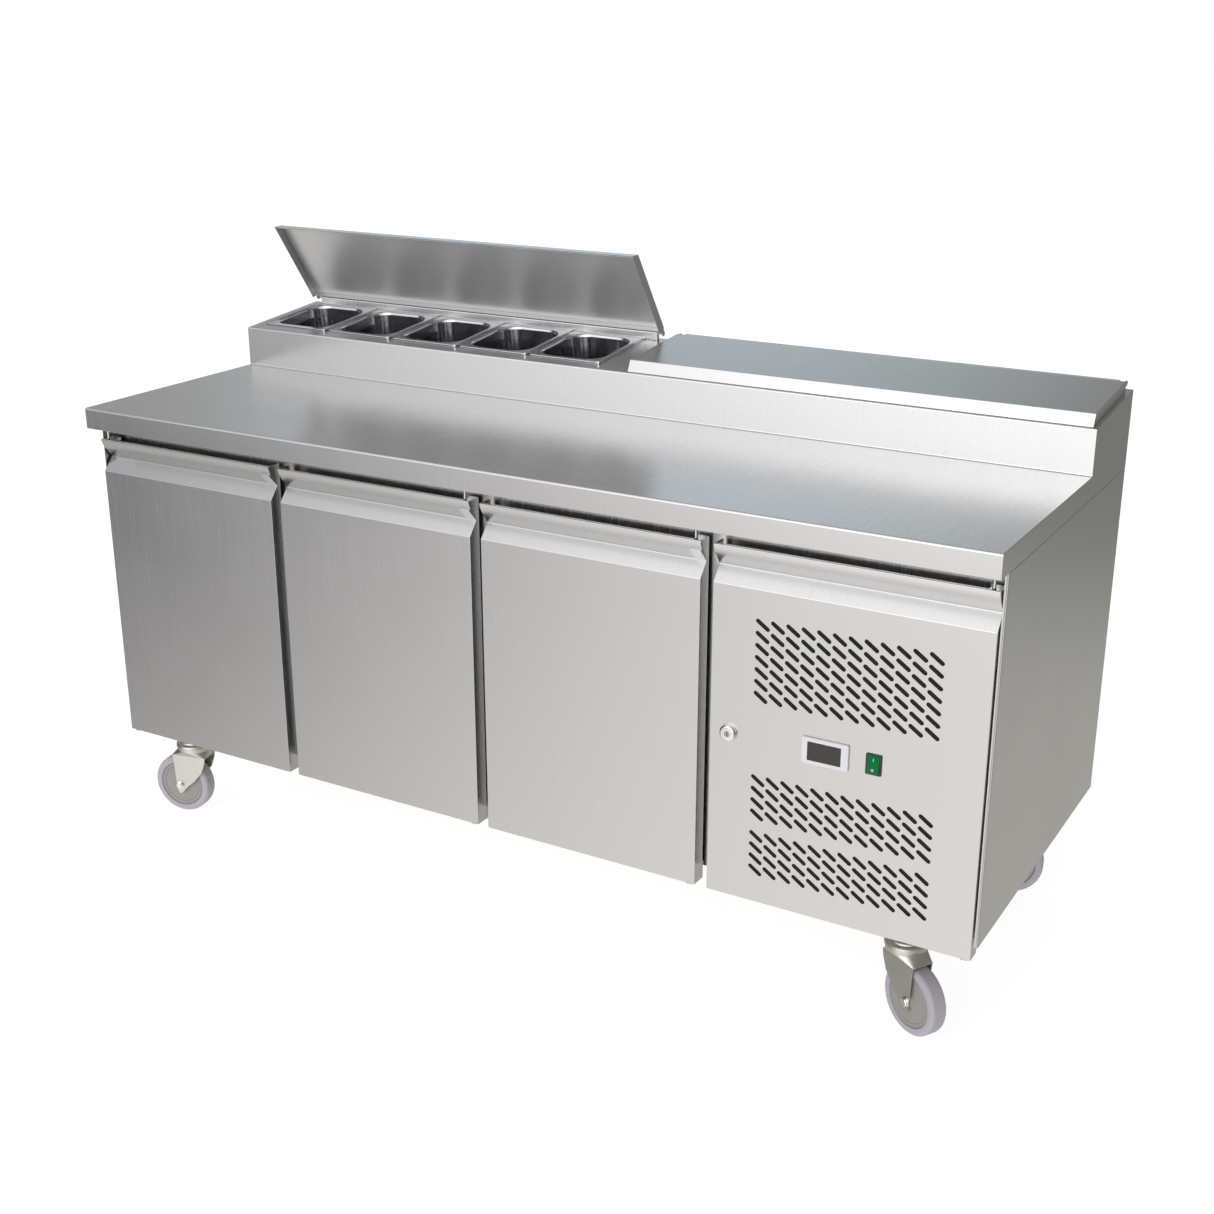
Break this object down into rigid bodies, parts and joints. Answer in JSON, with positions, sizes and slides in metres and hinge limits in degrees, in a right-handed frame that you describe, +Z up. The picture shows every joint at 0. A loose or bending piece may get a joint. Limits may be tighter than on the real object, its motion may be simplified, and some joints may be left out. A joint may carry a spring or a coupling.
{
  "type": "sandwich prep table",
  "caption": "Refrigerated sandwich prep table on swivel castors: steel worktop, sloped upstand with food pans under hinged lids, insulated doors and a vented machine-bay door.",
  "frame": {"origin": "centre of the rest pose's bounding box, on the floor under the castors", "axes": "+X runs along the longest side, to the right as seen from the front; +Y runs from the doors at the front to the rear; +Z is up"},
  "size_m": [1.8134, 0.7, 1.1707],
  "materials": {
    "steel": "brushed satin",
    "liner": "satin",
    "pan": "polished",
    "chrome": "polished",
    "zinc": "zinc plated",
    "fins": "plain",
    "wire": "satin",
    "gasket": "matte",
    "tyre": "matte",
    "hub": "matte",
    "white_plastic": "satin",
    "display": "gloss",
    "black_plastic": "matte",
    "green_plastic": "gloss",
    "black_enamel": "satin"
  },
  "bodies": {
    "cabinet": {"worktop": "steel", "riser": "steel", "side_panel_left": "steel", "side_panel_right": "steel", "back_panel": "steel", "bottom_panel": "steel", "bulkhead": "liner", "front_frame": "steel", "shelf_1": "wire", "shelf_2": "wire", "shelf_3": "wire", "lid_rail_left": "steel", "lid_rail_right": "steel", "evaporator": "fins", "evaporator_cover": "white_plastic", "compressor": "black_enamel", "condenser": "fins", "castor_front_left_mount": "zinc", "castor_front_right_mount": "zinc", "castor_rear_left_mount": "zinc", "castor_rear_right_mount": "zinc"},
    "door_1": {"door_1": "steel", "door_1_gasket": "gasket"},
    "door_2": {"door_2": "steel", "door_2_gasket": "gasket"},
    "door_3": {"door_3": "steel", "door_3_gasket": "gasket"},
    "bay_door": {"bay_door": "steel", "lock_collar": "chrome", "controller_bezel": "white_plastic", "controller_screen": "display", "switch_bezel": "black_plastic"},
    "lock_barrel": {"lock_barrel": "chrome"},
    "switch_rocker": {"switch_rocker": "green_plastic"},
    "lid_left": {"lid_left": "steel"},
    "lid_right": {"lid_right": "steel"},
    "pan_1": {"pan_1": "pan"},
    "pan_2": {"pan_2": "pan"},
    "pan_3": {"pan_3": "pan"},
    "pan_4": {"pan_4": "pan"},
    "pan_5": {"pan_5": "pan"},
    "pan_6": {"pan_6": "pan"},
    "pan_7": {"pan_7": "pan"},
    "pan_8": {"pan_8": "pan"},
    "pan_9": {"pan_9": "pan"},
    "pan_10": {"pan_10": "pan"},
    "evaporator_fan": {"evaporator_fan": "black_plastic"},
    "condenser_fan": {"condenser_fan": "black_plastic"},
    "castor_front_left_fork": {"castor_front_left_fork": "zinc"},
    "castor_front_left_wheel": {"castor_front_left_hub": "hub", "castor_front_left_tyre": "tyre"},
    "castor_front_right_fork": {"castor_front_right_fork": "zinc"},
    "castor_front_right_wheel": {"castor_front_right_hub": "hub", "castor_front_right_tyre": "tyre"},
    "castor_rear_left_fork": {"castor_rear_left_fork": "zinc"},
    "castor_rear_left_wheel": {"castor_rear_left_hub": "hub", "castor_rear_left_tyre": "tyre"},
    "castor_rear_right_fork": {"castor_rear_right_fork": "zinc"},
    "castor_rear_right_wheel": {"castor_rear_right_hub": "hub", "castor_rear_right_tyre": "tyre"}
  },
  "joints": [
    {"name": "door_1_hinge", "type": "hinge", "parent": "cabinet", "child": "door_1", "pos_m": [-0.87027, -0.314, 0.2125], "axis": [0, 0, -1], "range_deg": [0, 110]},
    {"name": "door_2_hinge", "type": "hinge", "parent": "cabinet", "child": "door_2", "pos_m": [-0.03727, -0.314, 0.2125], "axis": [0, 0, 1], "range_deg": [0, 110]},
    {"name": "door_3_hinge", "type": "hinge", "parent": "cabinet", "child": "door_3", "pos_m": [0.40373, -0.314, 0.2125], "axis": [0, 0, 1], "range_deg": [0, 110]},
    {"name": "bay_door_hinge", "type": "hinge", "parent": "cabinet", "child": "bay_door", "pos_m": [0.88673, -0.314, 0.2125], "axis": [0, 0, 1], "range_deg": [0, 110]},
    {"name": "lock_turn", "type": "hinge", "parent": "bay_door", "child": "lock_barrel", "pos_m": [0.47323, -0.321, 0.508], "axis": [0, 1, 0], "range_deg": [0, 90]},
    {"name": "switch_rock", "type": "hinge", "parent": "bay_door", "child": "switch_rocker", "pos_m": [0.72273, -0.318, 0.5092], "axis": [1, 0, 0], "range_deg": [0, 16]},
    {"name": "lid_left_hinge", "type": "hinge", "parent": "cabinet", "child": "lid_left", "pos_m": [-0.43727, 0.33494, 1.00332], "axis": [-1, 0, 0], "range_deg": [-61.1, 38.9]},
    {"name": "lid_right_hinge", "type": "hinge", "parent": "cabinet", "child": "lid_right", "pos_m": [0.46473, 0.33494, 1.00332], "axis": [-1, 0, 0], "range_deg": [0, 100]},
    {"name": "pan_1_lift", "type": "slide", "parent": "cabinet", "child": "pan_1", "axis": [0, -0.0952, 0.9955], "range_m": [0, 0.012]},
    {"name": "pan_2_lift", "type": "slide", "parent": "cabinet", "child": "pan_2", "axis": [0, -0.0952, 0.9955], "range_m": [0, 0.012]},
    {"name": "pan_3_lift", "type": "slide", "parent": "cabinet", "child": "pan_3", "axis": [0, -0.0952, 0.9955], "range_m": [0, 0.012]},
    {"name": "pan_4_lift", "type": "slide", "parent": "cabinet", "child": "pan_4", "axis": [0, -0.0952, 0.9955], "range_m": [0, 0.012]},
    {"name": "pan_5_lift", "type": "slide", "parent": "cabinet", "child": "pan_5", "axis": [0, -0.0952, 0.9955], "range_m": [0, 0.012]},
    {"name": "pan_6_lift", "type": "slide", "parent": "cabinet", "child": "pan_6", "axis": [0, -0.0952, 0.9955], "range_m": [0, 0.004]},
    {"name": "pan_7_lift", "type": "slide", "parent": "cabinet", "child": "pan_7", "axis": [0, -0.0952, 0.9955], "range_m": [0, 0.004]},
    {"name": "pan_8_lift", "type": "slide", "parent": "cabinet", "child": "pan_8", "axis": [0, -0.0952, 0.9955], "range_m": [0, 0.004]},
    {"name": "pan_9_lift", "type": "slide", "parent": "cabinet", "child": "pan_9", "axis": [0, -0.0952, 0.9955], "range_m": [0, 0.004]},
    {"name": "pan_10_lift", "type": "slide", "parent": "cabinet", "child": "pan_10", "axis": [0, -0.0952, 0.9955], "range_m": [0, 0.004]},
    {"name": "evaporator_fan_spin", "type": "hinge", "parent": "cabinet", "child": "evaporator_fan", "pos_m": [0.28373, 0.09, 0.665], "axis": [1, 0, 0], "continuous": true},
    {"name": "condenser_fan_spin", "type": "hinge", "parent": "cabinet", "child": "condenser_fan", "pos_m": [0.65923, -0.1305, 0.3625], "axis": [0, 1, 0], "continuous": true},
    {"name": "castor_front_left_swivel", "type": "hinge", "parent": "cabinet", "child": "castor_front_left_fork", "pos_m": [-0.81387, -0.2171, 0.1345], "axis": [0, 0, 1], "continuous": true},
    {"name": "castor_front_left_roll", "type": "hinge", "parent": "castor_front_left_fork", "child": "castor_front_left_wheel", "pos_m": [-0.84329, -0.22298, 0.0625], "axis": [0.1959, -0.9806, 0], "continuous": true},
    {"name": "castor_front_right_swivel", "type": "hinge", "parent": "cabinet", "child": "castor_front_right_fork", "pos_m": [0.76113, -0.2203, 0.1345], "axis": [0, 0, 1], "continuous": true},
    {"name": "castor_front_right_roll", "type": "hinge", "parent": "castor_front_right_fork", "child": "castor_front_right_wheel", "pos_m": [0.78727, -0.23503, 0.0625], "axis": [0.4909, 0.8712, 0], "continuous": true},
    {"name": "castor_rear_left_swivel", "type": "hinge", "parent": "cabinet", "child": "castor_rear_left_fork", "pos_m": [-0.81387, 0.305, 0.1345], "axis": [0, 0, 1], "continuous": true},
    {"name": "castor_rear_left_roll", "type": "hinge", "parent": "castor_rear_left_fork", "child": "castor_rear_left_wheel", "pos_m": [-0.78424, 0.30969, 0.0625], "axis": [-0.1564, 0.9877, 0], "continuous": true},
    {"name": "castor_rear_right_swivel", "type": "hinge", "parent": "cabinet", "child": "castor_rear_right_fork", "pos_m": [0.74903, 0.305, 0.1345], "axis": [0, 0, 1], "continuous": true},
    {"name": "castor_rear_right_roll", "type": "hinge", "parent": "castor_rear_right_fork", "child": "castor_rear_right_wheel", "pos_m": [0.77826, 0.31175, 0.0625], "axis": [-0.225, 0.9744, 0], "continuous": true}
  ]
}
